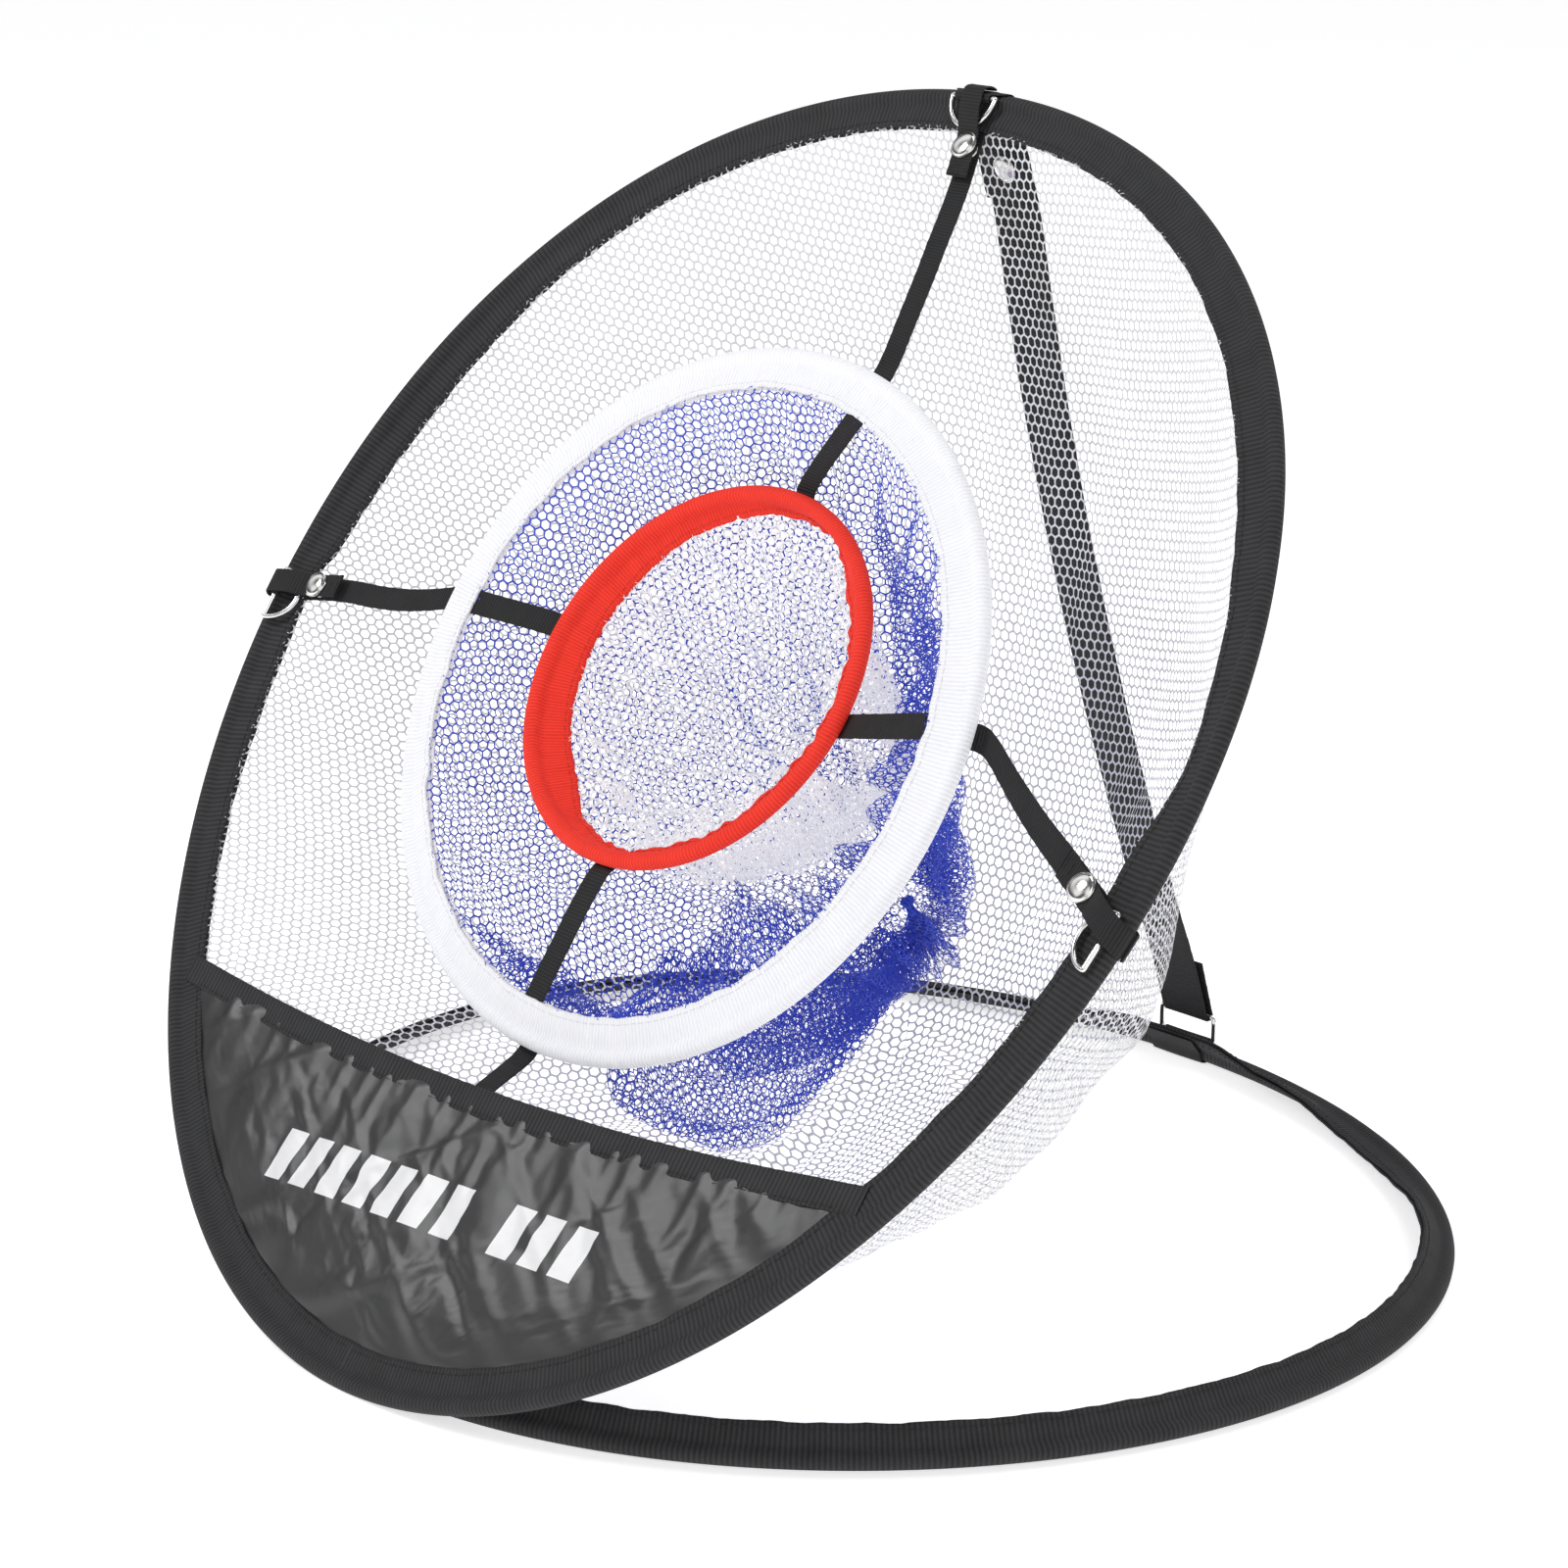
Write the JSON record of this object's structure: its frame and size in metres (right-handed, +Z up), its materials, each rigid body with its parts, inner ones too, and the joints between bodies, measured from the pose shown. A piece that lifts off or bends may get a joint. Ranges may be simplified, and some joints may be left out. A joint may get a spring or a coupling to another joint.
{
  "type": "golf chipping net",
  "caption": "Pop-up chipping net: an oval face hoop with a bag net leans on a base hoop and rear strap, with smaller target rings hung inside on straps.",
  "frame": {"origin": "on the ground under the middle of the object, with the face hoop leaning back from its front edge", "axes": "+X to the right seen from the front, along the hoops' width; +Y to the back, where the rear strap is; +Z up"},
  "size_m": [0.5118, 0.4794, 0.4385],
  "materials": {
    "black_webbing": "ribbed grosgrain and woven webbing, matt black",
    "white_webbing": "ribbed grosgrain, white",
    "red_webbing": "ribbed grosgrain, bright red",
    "black_nylon": "thin shiny woven nylon, creased",
    "white_netting": "knitted hexagonal mesh, white",
    "blue_netting": "knitted hexagonal mesh, royal blue",
    "spring_steel": "bare spring wire",
    "nickel": "polished nickel plate"
  },
  "bodies": {
    "base": {"base_wire": "spring_steel", "base_ferrule": "spring_steel", "base_binding": "black_webbing", "hinge_tape": "black_webbing", "rear_tab": "black_webbing", "rear_stud": "nickel"},
    "rear_ring": {"rear_dring": "nickel"},
    "rear_tail_end": {"rear_tail": "black_webbing", "rear_cap": "nickel", "rear_socket": "nickel"},
    "face": {"face_wire": "spring_steel", "face_ferrule": "spring_steel", "face_binding": "black_webbing", "outer_net": "white_netting", "front_panel": "black_nylon", "panel_hem": "black_webbing", "tab_top": "black_webbing", "tab_left": "black_webbing", "tab_right": "black_webbing", "anchor_top": "black_webbing", "anchor_left": "black_webbing", "anchor_right": "black_webbing", "strap_top": "black_webbing", "strap_left": "black_webbing", "strap_right": "black_webbing", "strap_bottom": "black_webbing", "stud_top": "nickel", "stud_left": "nickel", "stud_right": "nickel", "rear_strap": "black_webbing", "rear_top_snap": "nickel"},
    "middle_ring": {"middle_wire": "spring_steel", "middle_ferrule": "spring_steel", "middle_binding": "white_webbing", "middle_net": "blue_netting", "net_knot": "blue_netting", "inner_strap_top": "black_webbing", "inner_strap_left": "black_webbing", "inner_strap_right": "black_webbing", "inner_strap_bottom": "black_webbing"},
    "inner_ring": {"inner_wire": "spring_steel", "inner_ferrule": "spring_steel", "inner_binding": "red_webbing", "inner_net": "white_netting"},
    "ring_top": {"dring_top": "nickel"},
    "keeper_top": {"flap_top": "black_webbing", "cap_top": "nickel", "socket_top": "nickel"},
    "ring_left": {"dring_left": "nickel"},
    "keeper_left": {"flap_left": "black_webbing", "cap_left": "nickel", "socket_left": "nickel"},
    "ring_right": {"dring_right": "nickel"},
    "keeper_right": {"flap_right": "black_webbing", "cap_right": "nickel", "socket_right": "nickel"}
  },
  "joints": [
    {"name": "face_fold", "type": "hinge", "parent": "base", "child": "face", "pos_m": [0, -0.23005, 0.01], "axis": [-1, 0, 0], "range_deg": [0, 45], "stiffness_Nm_per_rad": 0.6, "springref_deg": -68.75, "deforming": ["rear_strap", "outer_net", "middle_net", "inner_net", "net_knot", "base_binding", "hinge_tape"]},
    {"name": "middle_swing", "type": "slide", "parent": "face", "child": "middle_ring", "axis": [0, 0.7902, -0.6129], "range_m": [-0.03, 0.03], "stiffness_N_per_m": 600, "deforming": ["strap_top", "strap_left", "strap_right", "strap_bottom", "outer_net", "middle_net", "net_knot"]},
    {"name": "inner_swing", "type": "slide", "parent": "middle_ring", "child": "inner_ring", "axis": [0, 0.7902, -0.6129], "range_m": [-0.025, 0.025], "stiffness_N_per_m": 400, "deforming": ["inner_strap_top", "inner_strap_left", "inner_strap_right", "inner_strap_bottom", "middle_net", "inner_net"]},
    {"name": "rear_tail_open", "type": "hinge", "parent": "rear_ring", "child": "rear_tail_end", "pos_m": [0, 0.23744, 0.02042], "axis": [-1, 0, 0], "range_deg": [0, 110]},
    {"name": "rear_ring_swing", "type": "hinge", "parent": "base", "child": "rear_ring", "pos_m": [0, 0.23744, 0.00842], "axis": [-1, 0, 0], "range_deg": [0, 11]},
    {"name": "keeper_top_open", "type": "hinge", "parent": "face", "child": "keeper_top", "pos_m": [-0.00001, 0.09889, 0.43588], "axis": [-1, 0, 0], "range_deg": [0, 140]},
    {"name": "ring_top_swing", "type": "hinge", "parent": "face", "child": "ring_top", "pos_m": [-0.00001, 0.09067, 0.43409], "axis": [-1, 0, 0], "range_deg": [0, 84]},
    {"name": "keeper_left_open", "type": "hinge", "parent": "face", "child": "keeper_left", "pos_m": [-0.24575, -0.0669, 0.22214], "axis": [0.0444, -0.6123, -0.7894], "range_deg": [0, 140]},
    {"name": "ring_left_swing", "type": "hinge", "parent": "face", "child": "ring_left", "pos_m": [-0.23913, -0.07344, 0.22252], "axis": [0.0444, -0.6123, -0.7894], "range_deg": [0, 84]},
    {"name": "keeper_right_open", "type": "hinge", "parent": "face", "child": "keeper_right", "pos_m": [0.24221, -0.08845, 0.19435], "axis": [0.155, 0.6055, 0.7806], "range_deg": [0, 140]},
    {"name": "ring_right_swing", "type": "hinge", "parent": "face", "child": "ring_right", "pos_m": [0.23522, -0.09453, 0.19533], "axis": [0.155, 0.6055, 0.7806], "range_deg": [0, 84]}
  ],
  "couplings": [
    {"joint": "rear_ring_swing", "follows": "rear_tail_open", "ratio": 0.1},
    {"joint": "ring_top_swing", "follows": "keeper_top_open", "ratio": 0.6},
    {"joint": "ring_left_swing", "follows": "keeper_left_open", "ratio": 0.6},
    {"joint": "ring_right_swing", "follows": "keeper_right_open", "ratio": 0.6}
  ]
}
